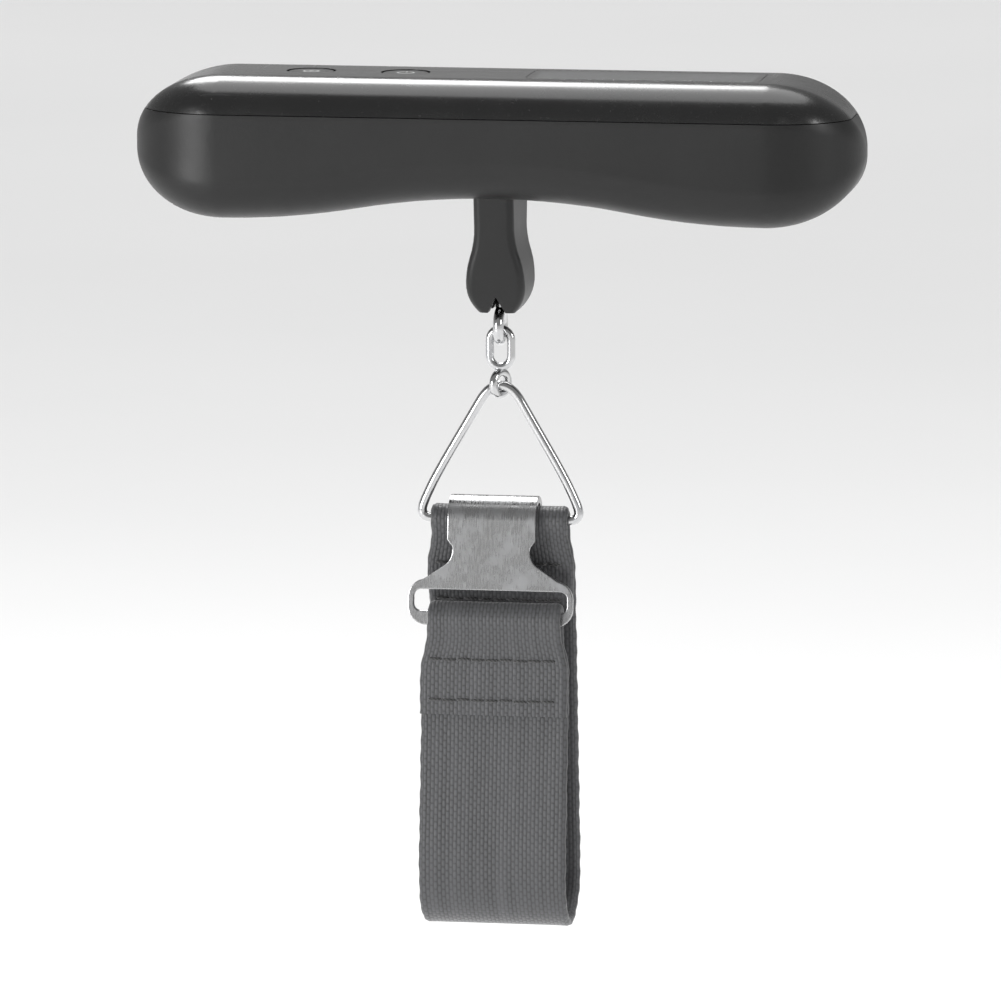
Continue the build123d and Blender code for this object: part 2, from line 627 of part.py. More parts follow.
def make_clip():
    """The sheet-steel clip: hook over the ring's base, neck, shoulders and a slot for the webbing."""
    side_y = HOOK_INNER_RADIUS + CLIP_THICKNESS / 2
    crown = (0, RING_BASE_Z + side_y)
    tip = Line((side_y, HOOK_TIP_Z), (side_y, RING_BASE_Z))
    over = ThreePointArc((side_y, RING_BASE_Z), crown, (-side_y, RING_BASE_Z))
    plate = Line((-side_y, RING_BASE_Z), (-side_y, FRAME_BOTTOM))
    profile = Sketch() + [trace(piece, CLIP_THICKNESS) for piece in (tip, over, plate)]
    bent = extrude(Plane.YZ * profile, 2 * FRAME_HALF_WIDTH, both=True)
    tongue = TONGUE_HALF_WIDTH
    shoulder_z = FRAME_TOP + SHOULDER_RISE
    shoulder_x = FRAME_HALF_WIDTH - SHOULDER_INSET
    right_side = [
        (tongue, RING_BASE_Z + 10),
        (tongue, RING_BASE_Z - 3.4),
        (NECK_HALF, RING_BASE_Z - 4.6),
        (NECK_HALF, shoulder_z),
        (shoulder_x, FRAME_TOP - 0.2),
        (shoulder_x, FRAME_TOP - 2),
    ]
    left_side = [(-x, z) for x, z in reversed(right_side)]
    neck = make_face(Polyline(*right_side, *left_side, close=True))
    bends = [v for v in neck.vertices() if abs(v.Y - shoulder_z) < 0.01]
    neck = fillet(bends, SHOULDER_BEND)
    frame_size = (2 * FRAME_HALF_WIDTH, FRAME_TOP - FRAME_BOTTOM)
    frame = Pos(0, (FRAME_TOP + FRAME_BOTTOM) / 2) * RectangleRounded(*frame_size, FRAME_END_RADIUS)
    slot_size = (2 * SLOT_HALF_WIDTH, SLOT_TOP - SLOT_BOTTOM)
    slot = Pos(0, (SLOT_TOP + SLOT_BOTTOM) / 2) * RectangleRounded(*slot_size, SLOT_END_RADIUS)
    outline = neck + frame - slot
    flat = extrude(Plane.XZ * outline, 10, both=True)
    lean = Pos(0, 0, RING_BASE_Z) * Rot(-CLIP_LEAN, 0, 0) * Pos(0, 0, -RING_BASE_Z)
    return lean * Pos(CLIP_SHIFT_X, 0, 0) * (bent & flat)


def stitch_row(spot):
    """A straight row of lock stitches lying on the webbing along X at a side-view point."""
    first = -STITCH_PITCH * (STITCH_COUNT - 1) / 2
    stitch = Rot(0, 90, 0) * Cylinder(STITCH_RADIUS, STITCH_PITCH * 0.75)
    return [Pos(first + STITCH_PITCH * i, spot.X, spot.Y) * stitch for i in range(STITCH_COUNT)]


def make_all():
    """Every node of the scale by name."""
    outer = bar_solid(0)
    inner = bar_solid(WALL)
    gauges, wires = make_gauges_and_wires()
    front_rows = []
    for distance in FRONT_STITCH_AT:
        front_rows += stitch_row(stitch_point(FRONT_START, FRONT_END, 1, distance))
    rear_rows = []
    for distance in REAR_STITCH_AT:
        rear_rows += stitch_row(stitch_point(REAR_START, REAR_END, 1, distance))
    screws = []
    for x, y in SCREW_SPOTS:
        head = rod(x, y, SCREW_SEAT_Z - SCREW_HEAD_HEIGHT, SCREW_SEAT_Z, SCREW_HEAD_RADIUS)
        slots = box((x - 1.1, y - 0.2, -20), (x + 1.1, y + 0.2, SCREW_SEAT_Z - 0.7))
        slots += box((x - 0.2, y - 1.1, -20), (x + 0.2, y + 1.1, SCREW_SEAT_Z - 0.7))
        screws.append(head + rod(x, y, SCREW_SEAT_Z - 0.1, SCREW_TIP_Z, SCREW_RADIUS) - slots)
    nodes = {
        "top_cover": make_top_cover(outer, inner),
        "lower_housing": make_lower_housing(outer, inner),
        "display_lens": make_lens(),
        "circuit_board": make_board(),
        "battery_door": make_battery_door(outer, inner),
        "load_cell": make_load_cell(),
        "load_cell_pin": cross_rod(UPPER_PIN_Z, UPPER_PIN_HALF, UPPER_PIN_RADIUS),
        "strain_gauges": gauges,
        "load_cell_wires": wires,
        "hanger_yoke": make_hanger(),
        "hanger_pin": cross_rod(LOWER_PIN_Z, YOKE_HALF_WIDTH, LOWER_PIN_RADIUS),
        "load_eye": make_load_eye(),
        "twisted_link": make_link(),
        "triangle_ring": make_ring(),
        "strap_rear_run": make_strap_rear(),
        "strap_front_run": make_strap_front(),
        "strap_clip": make_clip(),
        "front_stitching": Compound(children=front_rows),
        "rear_stitching": Compound(children=rear_rows),
        "housing_screws": Compound(children=screws),
        "processor_blob": rod(*PROCESSOR_SPOT, BOARD_TOP, BOARD_TOP + PROCESSOR_HEIGHT, PROCESSOR_RADIUS),
        "amplifier_chip": under_board(AMPLIFIER_X, 0, AMPLIFIER_SIZE),
    }
    capacitors = [under_board(x, CAPACITOR_Y, CAPACITOR_SIZE) for x in CAPACITOR_X]
    nodes["capacitors"] = Compound(children=capacitors)
    for name, x in KEY_X.items():
        nodes[name + "_button"] = make_key(x)
        nodes[name + "_switch"] = make_switch(x)
        plunger_low = PLUNGER_TOP - PLUNGER_LENGTH
        nodes[name + "_switch_plunger"] = rod(x, 0, plunger_low, PLUNGER_TOP, PLUNGER_RADIUS)
    nodes.update(make_display())
    nodes.update(make_battery())
    return nodes


for node, shape in make_all().items():
    export_step(shape, "parts/" + node + ".step")
    print(node, round(shape.volume, 2))
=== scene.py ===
import math

import bpy
from mathutils import Matrix, Vector


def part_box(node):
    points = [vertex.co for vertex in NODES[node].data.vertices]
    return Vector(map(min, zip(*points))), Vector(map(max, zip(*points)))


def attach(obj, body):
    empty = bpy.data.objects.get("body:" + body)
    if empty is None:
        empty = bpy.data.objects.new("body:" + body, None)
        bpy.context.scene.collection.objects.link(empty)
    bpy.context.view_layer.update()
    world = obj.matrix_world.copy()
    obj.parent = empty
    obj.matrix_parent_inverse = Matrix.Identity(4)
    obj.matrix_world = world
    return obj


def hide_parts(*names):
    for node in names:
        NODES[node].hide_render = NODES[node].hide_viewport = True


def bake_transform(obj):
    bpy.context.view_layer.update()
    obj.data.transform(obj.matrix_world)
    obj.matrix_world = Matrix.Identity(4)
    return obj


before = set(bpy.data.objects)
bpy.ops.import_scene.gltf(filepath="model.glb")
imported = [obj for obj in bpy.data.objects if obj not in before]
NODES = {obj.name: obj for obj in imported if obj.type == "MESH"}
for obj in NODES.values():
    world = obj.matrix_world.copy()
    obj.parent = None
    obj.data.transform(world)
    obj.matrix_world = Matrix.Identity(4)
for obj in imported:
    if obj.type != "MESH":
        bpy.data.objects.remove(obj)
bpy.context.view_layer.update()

# Metres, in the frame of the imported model: +X along the grip bar, -Y towards the viewer, +Z up.
MM = 0.001

# ---- the camera ------------------------------------------------------------------------------
VIEW_AZIMUTH = 9.0
VIEW_ELEVATION = 9.0
VIEW_DISTANCE = 1.5
VIEW_HEIGHT = 0.168
VIEW_CENTRE = Vector((0.0, 0.0, -0.060))
SENSOR = 36.0

# ---- the floor and the room ------------------------------------------------------------------
FLOOR_Z = -0.30
FLOOR_SIZE = 30.0
HORIZON_LIGHT = 0.78
ROOM_LIGHT = 0.28

# ---- webbing ---------------------------------------------------------------------------------
WEB_WIDTH = 25 * MM
WEB_THICK = 1.5 * MM
WEB_HALF_GAP = 0.8 * MM
EYE_WIDTH = 23.2 * MM
FOLD_WIDTH = 22.6 * MM
RING_BASE = Vector((0.0, 0.0, -63.2 * MM))
CLIP_BAR = Vector((0.0, -5.216 * MM, -79.343 * MM))
LOOP_Y = -0.5 * MM
LOOP_Z = -123.0 * MM
LOOP_REACH = 8.4 * MM
SPLIT_Z = -119.0 * MM
REAR_TAIL = 16.3 * MM
FRONT_TAIL = 16.1 * MM
WEB_STEP = 0.5 * MM
WEB_COLUMNS = 56

# ---- wire parts ------------------------------------------------------------------------------
RING_WIRE = 0.8 * MM
LINK_WIRE = 0.7 * MM


# ============================================================================= node helpers ====
class Nodes:
    """A short way to add and join shader nodes."""

    def __init__(self, name):
        self.material = bpy.data.materials.new(name)
        self.material.use_nodes = True
        self.tree = self.material.node_tree
        self.shader = self.tree.nodes["Principled BSDF"]

    def add(self, kind, **values):
        """A node, its properties set by keyword and its input sockets by a dict called inputs."""
        node = self.tree.nodes.new("ShaderNode" + kind)
        for socket, value in values.pop("inputs", {}).items():
            self.feed(node, socket, value)
        for key, value in values.items():
            setattr(node, key, value)
        return node

    def feed(self, node, socket, value):
        """Sets an input to a value, or joins it to another node's output."""
        target = node.inputs[socket]
        if isinstance(value, bpy.types.NodeSocket):
            self.tree.links.new(value, target)
        else:
            target.default_value = value

    def set(self, **values):
        """Values or links on the Principled shader, with underscores for spaces."""
        for key, value in values.items():
            self.feed(self.shader, key.replace("_", " "), value)

    def maths(self, operation, first, second=0.0, third=0.0):
        node = self.add("Math", operation=operation)
        for index, value in enumerate((first, second, third)):
            self.feed(node, index, value)
        return node.outputs[0]

    def place(self, scale=(1, 1, 1), turn=(0, 0, 0)):
        """Object coordinates, stretched."""
        where = self.add("TexCoord").outputs["Object"]
        mapping = self.add("Mapping", inputs={"Vector": where, "Scale": scale, "Rotation": turn})
        return mapping.outputs["Vector"]

    def noise(self, vector, scale, detail=4.0, roughness=0.55, distortion=0.0):
        values = {
            "Vector": vector,
            "Scale": scale,
            "Detail": detail,
            "Roughness": roughness,
            "Distortion": distortion,
        }
        return self.add("TexNoise", inputs=values).outputs["Fac"]

    def span(self, value, low, high, new_low, new_high):
        """Maps a range to another, clamped."""
        node = self.add("MapRange")
        for index, number in enumerate((value, low, high, new_low, new_high)):
            self.feed(node, index, number)
        return node.outputs[0]

    def blend(self, factor, first, second, mode="MIX"):
        """Mixes two colours."""
        node = self.add("Mix", data_type="RGBA", blend_type=mode)
        self.feed(node, 0, factor)
        self.feed(node, 6, first)
        self.feed(node, 7, second)
        return node.outputs[2]

    def bump(self, height, strength, distance, under=None):
        inputs = {"Height": height, "Strength": strength, "Distance": distance}
        if under is not None:
            inputs["Normal"] = under
        return self.add("Bump", inputs=inputs).outputs["Normal"]

    def edge_wear(self, low=0.505, high=0.56):
        """Where the surface is convex: the rubbed edges."""
        pointiness = self.add("NewGeometry").outputs["Pointiness"]
        return self.span(pointiness, low, high, 0.0, 1.0)


def grey(value):
    return (value, value, value, 1.0)


def darker(colour, share):
    """A colour scaled down."""
    return tuple(c * share for c in colour[:3]) + (1,)


# ================================================================================ materials ====
def satin_plastic(name="satin_plastic", tone=0.009):
    """Soft-touch black moulding: fine spark-eroded grain, faint mottling, rubbed shiny edges."""
    n = Nodes(name)
    spot = n.place()
    grain = n.noise(spot, 5200, 2.0, 0.6)
    pebble = n.noise(spot, 1900, 3.0, 0.5)
    mottle = n.noise(spot, 38, 5.0, 0.6)
    wear = n.edge_wear(0.51, 0.60)
    patch = n.noise(spot, 160, 6.0, 0.7)
    rubbed = n.maths("MULTIPLY", wear, n.span(patch, 0.42, 0.62, 0.0, 1.0))
    colour = n.blend(n.span(mottle, 0.3, 0.7, 0.0, 1.0), grey(tone * 0.85), grey(tone * 1.2))
    colour = n.blend(n.maths("MULTIPLY", rubbed, 0.5), colour, grey(tone * 2.2))
    rough = n.span(mottle, 0.3, 0.7, 0.40, 0.47)
    rough = n.maths("SUBTRACT", rough, n.maths("MULTIPLY", rubbed, 0.12))
    skin = n.bump(pebble, 0.16, 0.00008)
    skin = n.bump(grain, 0.12, 0.00004, skin)
    n.set(Base_Color=colour, Roughness=rough, Normal=skin)
    n.set(Specular_IOR_Level=0.4, Sheen_Weight=0.02, Sheen_Roughness=0.4)
    return n.material


def gloss_plastic(name="gloss_plastic", tone=0.010):
    """Piano-black moulding: deep gloss with hairline scratches and faint smears."""
    n = Nodes(name)
    spot = n.place()
    smear = n.noise(spot, 55, 6.0, 0.65, 0.6)
    hair_a = n.noise(n.place((30, 1400, 900), (0, 0, 0.35)), 1.0, 2.0, 0.5)
    hair_b = n.noise(n.place((900, 40, 1300), (0, 0.2, -0.5)), 1.0, 2.0, 0.5)
    hairs = n.maths("MAXIMUM", n.span(hair_a, 0.66, 0.74, 0, 1), n.span(hair_b, 0.68, 0.76, 0, 1))
    dust = n.span(n.noise(spot, 2600, 1.0, 0.4), 0.74, 0.80, 0.0, 1.0)
    rough = n.span(smear, 0.35, 0.7, 0.20, 0.30)
    rough = n.maths("ADD", rough, n.maths("MULTIPLY", hairs, 0.10))
    colour = n.blend(n.maths("MULTIPLY", dust, 0.35), grey(tone), grey(0.11))
    colour = n.blend(n.maths("MULTIPLY", n.edge_wear(0.52, 0.62), 0.25), colour, grey(0.05))
    orange_peel = n.bump(n.noise(spot, 420, 2.0, 0.5), 0.035, 0.0001)
    n.set(Base_Color=colour, Roughness=rough, Normal=n.bump(hairs, 0.05, 0.00002, orange_peel))
    n.set(Coat_Weight=0.25, Coat_Roughness=0.15)
    return n.material


def key_plastic(name, icon):
    """The key caps: semi-gloss black with a plain printed sign."""
    n = Nodes(name)
    spot = n.place()
    n.set(Base_Color=icon(n, grey(0.016), grey(0.62)))
    n.set(Roughness=n.span(n.noise(spot, 900, 4.0, 0.6), 0.3, 0.7, 0.26, 0.38))
    n.set(Normal=n.bump(n.noise(spot, 3000, 2.0, 0.5), 0.08, 0.00004))
    return n.material


def ring_sign(n, x, y, radius, thick, gap_half):
    """A mask of a printed ring on a level face, open at the back over a gap."""
    where = n.add("SeparateXYZ", inputs={"Vector": n.add("TexCoord").outputs["Object"]})
    dx = n.maths("SUBTRACT", where.outputs[0], x)
    dy = n.maths("SUBTRACT", where.outputs[1], y)
    reach = n.maths("SQRT", n.maths("ADD", n.maths("MULTIPLY", dx, dx), n.maths("MULTIPLY", dy, dy)))
    ring = n.maths("LESS_THAN", n.maths("ABSOLUTE", n.maths("SUBTRACT", reach, radius)), thick / 2)
    beside = n.maths("GREATER_THAN", n.maths("ABSOLUTE", dx), gap_half)
    below = n.maths("LESS_THAN", dy, 0.0)
    ring = n.maths("MULTIPLY", ring, n.maths("MAXIMUM", beside, below))
    return ring, dx, dy


def power_icon(x, y):
    """The usual on-off sign: an open ring with an upright bar."""
    def paint(n, ground, ink):
        ring, dx, dy = ring_sign(n, x, y, 1.35 * MM, 0.34 * MM, 0.42 * MM)
        slim = n.maths("LESS_THAN", n.maths("ABSOLUTE", dx), 0.17 * MM)
        tall = n.maths("LESS_THAN", n.maths("ABSOLUTE", n.maths("SUBTRACT", dy, 1.0 * MM)), 0.75 * MM)
        sign = n.maths("MAXIMUM", ring, n.maths("MULTIPLY", slim, tall))
        return n.blend(n.maths("MULTIPLY", sign, 0.85), ground, ink)
    return paint


def unit_icon(x, y):
    """A plain ring with a dot, for the second key."""
    def paint(n, ground, ink):
        ring, dx, dy = ring_sign(n, x, y, 1.25 * MM, 0.34 * MM, -1.0)
        dot = n.maths("ADD", n.maths("MULTIPLY", dx, dx), n.maths("MULTIPLY", dy, dy))
        dot = n.maths("LESS_THAN", dot, (0.42 * MM) ** 2)
        return n.blend(n.maths("MULTIPLY", n.maths("MAXIMUM", ring, dot), 0.85), ground, ink)
    return paint


def polished_steel(name="polished_steel", tone=0.80, base_rough=0.10, stretch=(60, 2600, 2600)):
    """Plated steel: bright, with drawn hairlines, small rubbed patches and a trace of dirt."""
    n = Nodes(name)
    spot = n.place()
    drawn = n.noise(n.place(stretch), 1.0, 3.0, 0.6)
    cloud = n.noise(spot, 240, 5.0, 0.6)
    pits = n.span(n.noise(spot, 2300, 2.0, 0.5), 0.72, 0.80, 0.0, 1.0)
    rough = n.span(drawn, 0.3, 0.7, base_rough * 0.75, base_rough * 1.7)
    rough = n.maths("ADD", rough, n.span(cloud, 0.45, 0.75, 0.0, base_rough * 0.9))
    dirty = (tone * 0.90, tone * 0.91, tone * 0.93, 1)
    colour = n.blend(n.span(cloud, 0.35, 0.75, 0.0, 1.0), grey(tone), dirty)
    colour = n.blend(n.maths("MULTIPLY", pits, 0.5), colour, grey(tone * 0.35))
    skin = n.bump(drawn, 0.06, 0.00002)
    n.set(Base_Color=colour, Roughness=rough, Normal=n.bump(pits, -0.15, 0.00003, skin))
    n.set(Metallic=1.0)
    return n.material


def plain_metal(name, colour, rough):
    """Inner metal parts: machined, with fine turning marks."""
    n = Nodes(name)
    marks = n.noise(n.place((200, 200, 4200)), 1.0, 3.0, 0.6)
    n.set(Base_Color=n.blend(n.span(marks, 0.3, 0.7, 0, 1), colour, darker(colour, 0.8)))
    n.set(Roughness=n.span(marks, 0.3, 0.7, rough, rough + 0.15), Normal=n.bump(marks, 0.1, 0.00003))
    n.set(Metallic=1.0)
    return n.material


def plain_plastic(name, colour, rough):
    """Inner mouldings, the board and its parts: faint mottling and grain."""
    n = Nodes(name)
    spot = n.place()
    mottle = n.noise(spot, 300, 4.0, 0.6)
    n.set(Base_Color=n.blend(n.span(mottle, 0.3, 0.7, 0, 1), colour, darker(colour, 0.82)))
    n.set(Roughness=n.span(mottle, 0.3, 0.7, rough, rough + 0.12))
    n.set(Normal=n.bump(n.noise(spot, 3500, 2.0), 0.1, 0.00004))
    return n.material


def webbing_cloth(name="webbing_cloth"):
    """Heavy dark nylon webbing: staggered warp floats in columns, with painted shade between them, and
    fibre streaks.
    """
    n = Nodes(name)
    spot = n.add("UVMap", uv_map="weave").outputs["UV"]
    ways = n.add("SeparateXYZ", inputs={"Vector": spot})
    column = n.maths("DIVIDE", ways.outputs[0], 0.66 * MM)
    index = n.maths("FLOOR", column)
    across = n.maths("SINE", n.maths("MULTIPLY", n.maths("FRACT", column), math.pi))
    stagger = n.maths("MULTIPLY", n.maths("MODULO", index, 2.0), 0.5)
    float_at = n.maths("ADD", n.maths("DIVIDE", ways.outputs[1], 1.25 * MM), stagger)
    along = n.maths("SINE", n.maths("MULTIPLY", n.maths("FRACT", float_at), math.pi))
    crown = n.maths("MULTIPLY", n.maths("POWER", across, 0.7), n.maths("POWER", along, 0.45))
    thread_scale = n.add("Mapping", inputs={"Vector": spot, "Scale": (9000, 700, 1)}).outputs[0]
    fibres = n.noise(thread_scale, 1.0, 3.0, 0.6)
    streak_scale = n.add("Mapping", inputs={"Vector": spot, "Scale": (600, 30, 1)}).outputs[0]
    streaks = n.noise(streak_scale, 1.0, 4.0, 0.6)
    lint = n.span(n.noise(n.place(), 1700, 2.0, 0.8), 0.70, 0.78, 0.0, 1.0)
    # Painted shade: the colour darkens where the weave is low, in the gaps between the floats.
    colour = n.blend(n.span(crown, 0.1, 0.8, 0.0, 1.0), grey(0.030), (0.080, 0.081, 0.086, 1))
    colour = n.blend(n.span(streaks, 0.35, 0.7, 0.0, 0.5), colour, (0.105, 0.106, 0.112, 1))
    colour = n.blend(n.maths("MULTIPLY", lint, 0.35), colour, grey(0.12))
    rough = n.span(fibres, 0.3, 0.7, 0.42, 0.62)
    skin = n.bump(crown, 0.6, 0.00013)
    skin = n.bump(fibres, 0.25, 0.00006, skin)
    n.set(Base_Color=colour, Roughness=rough, Normal=skin)
    n.set(Sheen_Weight=0.35, Sheen_Roughness=0.35, Specular_IOR_Level=0.55)
    return n.material


def sewing_thread(name="sewing_thread"):
    """Twisted black thread, with painted shade in the grooves between the plies."""
    n = Nodes(name)
    twist = n.add("TexWave", wave_type="BANDS", bands_direction="DIAGONAL")
    n.feed(twist, "Vector", n.place())
    n.feed(twist, "Scale", 900.0)
    n.feed(twist, "Distortion", 1.0)
    ply = twist.outputs["Fac"]
    # Painted shade: the colour follows the twist bands and is darker in the grooves between the plies.
    n.set(Base_Color=n.blend(ply, grey(0.012), grey(0.05)), Normal=n.bump(ply, 0.5, 0.00006))
    n.set(Roughness=n.span(ply, 0.0, 1.0, 0.55, 0.4), Sheen_Weight=0.3)
    return n.material


def clear_window(name="clear_window"):
    """The display window: clear, faintly smoked, with hairline scratches."""
    n = Nodes(name)
    hair = n.noise(n.place((40, 1500, 900), (0, 0, 0.5)), 1.0, 2.0, 0.5)
    hairs = n.span(hair, 0.67, 0.75, 0.0, 1.0)
    rough = n.maths("ADD", 0.03, n.maths("MULTIPLY", hairs, 0.08))
    n.set(Base_Color=(0.80, 0.83, 0.85, 1), Roughness=rough)
    n.set(Transmission_Weight=1.0, IOR=1.49, Normal=n.bump(hairs, 0.04, 0.00002))
    return n.material


SEGMENTS = {
    "0": "abcdef", "1": "bc", "2": "abged", "3": "abgcd", "4": "fgbc",
    "5": "afgcd", "6": "afgedc", "7": "abc", "8": "abcdefg", "9": "abcdfg",
}


def display_glass(name, centre, digits="0.00"):
    """A reversed liquid-crystal glass: dark segments on a grey-green field."""
    n = Nodes(name)
    where = n.add("SeparateXYZ", inputs={"Vector": n.add("TexCoord").outputs["Object"]})
    x = n.maths("SUBTRACT", where.outputs[0], centre.x)
    y = n.maths("SUBTRACT", where.outputs[1], centre.y)
    lean = n.maths("SUBTRACT", x, n.maths("MULTIPLY", y, 0.12))

    def block(cx, cy, half_x, half_y):
        inside_x = n.maths("LESS_THAN", n.maths("ABSOLUTE", n.maths("SUBTRACT", lean, cx)), half_x)
        inside_y = n.maths("LESS_THAN", n.maths("ABSOLUTE", n.maths("SUBTRACT", y, cy)), half_y)
        return n.maths("MULTIPLY", inside_x, inside_y)

    half_w, half_h, bar = 1.75 * MM, 1.65 * MM, 0.38 * MM
    places = {
        "a": (0, 2 * half_h, half_w - bar, bar), "g": (0, 0, half_w - bar, bar),
        "d": (0, -2 * half_h, half_w - bar, bar), "f": (-half_w, half_h, bar, half_h - bar),
        "b": (half_w, half_h, bar, half_h - bar), "e": (-half_w, -half_h, bar, half_h - bar),
        "c": (half_w, -half_h, bar, half_h - bar),
    }
    ink = 0.0
    at = -9.0 * MM
    for sign in digits:
        if sign == ".":
            ink = n.maths("MAXIMUM", ink, block(at - 3.4 * MM, -2 * half_h, 0.5 * MM, 0.45 * MM))
            continue
        for piece in SEGMENTS[sign]:
            dx, dy, hx, hy = places[piece]
            ink = n.maths("MAXIMUM", ink, block(at + dx, dy, hx, hy))
        at += 6.8 * MM
    speck = n.noise(n.place(), 1500, 3.0, 0.6)
    field = n.blend(n.span(speck, 0.3, 0.7, 0.0, 1.0), (0.20, 0.235, 0.20, 1), (0.23, 0.265, 0.23, 1))
    n.set(Base_Color=n.blend(n.maths("MULTIPLY", ink, 0.93), field, grey(0.012)))
    n.set(Roughness=n.span(speck, 0.3, 0.7, 0.14, 0.22), Normal=n.bump(speck, 0.03, 0.00003))
    return n.material


def pale_floor(name="pale_floor"):
    n = Nodes(name)
    cloud = n.noise(n.place(), 3.0, 4.0, 0.5)
    n.set(Base_Color=n.blend(cloud, grey(0.80), grey(0.84)), Roughness=n.span(cloud, 0, 1, 0.7, 0.8))
    n.set(Normal=n.bump(n.noise(n.place(), 400, 3.0), 0.03, 0.0003))
    return n.material


# ============================================================================ mesh helpers ====
def new_object(name, verts, faces, uvs=None):
    """A mesh object from plain lists, smooth shaded, with an optional weave map per vertex."""
    mesh = bpy.data.meshes.new(name)
    mesh.from_pydata([tuple(v) for v in verts], [], faces)
    mesh.polygons.foreach_set("use_smooth", [True] * len(mesh.polygons))
    if uvs is not None:
        layer = mesh.uv_layers.new(name="weave")
        for loop in mesh.loops:
            layer.data[loop.index].uv = uvs[loop.vertex_index]
    mesh.validate()
    obj = bpy.data.objects.new(name, mesh)
    bpy.context.scene.collection.objects.link(obj)
    return obj


def finish_piece(obj, material, body=None, replaced=()):
    obj.data.materials.clear()
    obj.data.materials.append(material)
    if replaced:
        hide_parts(*replaced)
    if body:
        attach(obj, body)
    return obj


def resample(points, step):
    """Points at an even step along a polyline, ends kept."""
    reach = [0.0]
    for first, second in zip(points, points[1:]):
        reach.append(reach[-1] + (second - first).length)
    count = max(2, round(reach[-1] / step))
    result, at = [], 0
    for k in range(count + 1):
        goal = reach[-1] * k / count
        while at < len(points) - 2 and reach[at + 1] < goal:
            at += 1
        part = (goal - reach[at]) / max(reach[at + 1] - reach[at], 1e-12)
        result.append(points[at].lerp(points[at + 1], min(max(part, 0.0), 1.0)))
    return result


def soften(points, passes, closed=False):
    """Evens out a polyline's corners."""
    for _ in range(passes):
        new = list(points)
        for k in range(len(points)):
            if not closed and k in (0, len(points) - 1):
                continue
            after = points[(k + 1) % len(points)]
            new[k] = points[k] * 0.5 + (points[k - 1] + after) * 0.25
        points = new
    return points


def arc(centre, radius, start, end, steps, plane="XZ"):
    """Points of a circular arc, angles in degrees from the plane's first axis."""
    points = []
    for k in range(steps + 1):
        angle = math.radians(start + (end - start) * k / steps)
        first, second = radius * math.cos(angle), radius * math.sin(angle)
        step = Vector((first, 0, second)) if plane == "XZ" else Vector((0, first, second))
        points.append(centre + step)
    return points


def tube(path, radius, closed, sides=20):
    """A round wire along a path: vertices and faces."""
    count = len(path)
    verts, faces = [], []
    normal = None
    first_normal = None
    for k, point in enumerate(path):
        ahead = path[(k + 1) % count] if closed or k < count - 1 else path[k]
        behind = path[k - 1] if closed or k > 0 else path[k]
        tangent = (ahead - behind).normalized()
        if normal is None:
            normal = tangent.orthogonal().normalized()
            first_normal = normal.copy()
        normal = (normal - tangent * normal.dot(tangent)).normalized()
        side = tangent.cross(normal)
        for s in range(sides):
            angle = 2 * math.pi * s / sides
            verts.append(point + (normal * math.cos(angle) + side * math.sin(angle)) * radius)
    twist = 0
    if closed:
        tangent = (path[1] - path[-1]).normalized()
        back = (normal - tangent * normal.dot(tangent)).normalized()
        angle = math.atan2(tangent.dot(first_normal.cross(back)), first_normal.dot(back))
        twist = round(angle / (2 * math.pi) * sides) % sides
    for k in range(count if closed else count - 1):
        nxt = (k + 1) % count
        shift = twist if nxt == 0 else 0
        for s in range(sides):
            a = k * sides + s
            b = k * sides + (s + 1) % sides
            c = nxt * sides + (s + 1 + shift) % sides
            d = nxt * sides + (s + shift) % sides
            faces.append((a, d, c, b))
    if not closed:
        faces.append(tuple(range(sides)))
        faces.append(tuple(reversed(range((count - 1) * sides, count * sides))))
    return verts, faces


def smooth_cad(node, material, bevel=0.0, angle=30.0, flat_faces=False):
    """Shows a CAD node: welded, its sharp edges slightly rounded, smooth shaded."""
    obj = NODES[node]
    obj.data.polygons.foreach_set("use_smooth", [True] * len(obj.data.polygons))
    if obj.data.has_custom_normals:
        with bpy.context.temp_override(object=obj, active_object=obj, selected_objects=[obj]):
            bpy.context.view_layer.objects.active = obj
            bpy.ops.mesh.customdata_custom_splitnormals_clear()
    weld = obj.modifiers.new("weld", "WELD")
    weld.merge_threshold = 1e-6
    if flat_faces:
        join = obj.modifiers.new("join", "DECIMATE")
        join.decimate_type = "DISSOLVE"
        join.angle_limit = math.radians(0.5)
    if bevel:
        round_off = obj.modifiers.new("round", "BEVEL")
        round_off.width = bevel
        round_off.segments = 2
        round_off.limit_method = "ANGLE"
        round_off.angle_limit = math.radians(angle)
        round_off.harden_normals = True
        round_off.use_clamp_overlap = True
    split = obj.modifiers.new("sharp", "EDGE_SPLIT")
    split.split_angle = math.radians(angle + 12.0)
    even = obj.modifiers.new("even", "WEIGHTED_NORMAL")
    even.keep_sharp = True
    obj.data.materials.clear()
    obj.data.materials.append(material)
    return obj


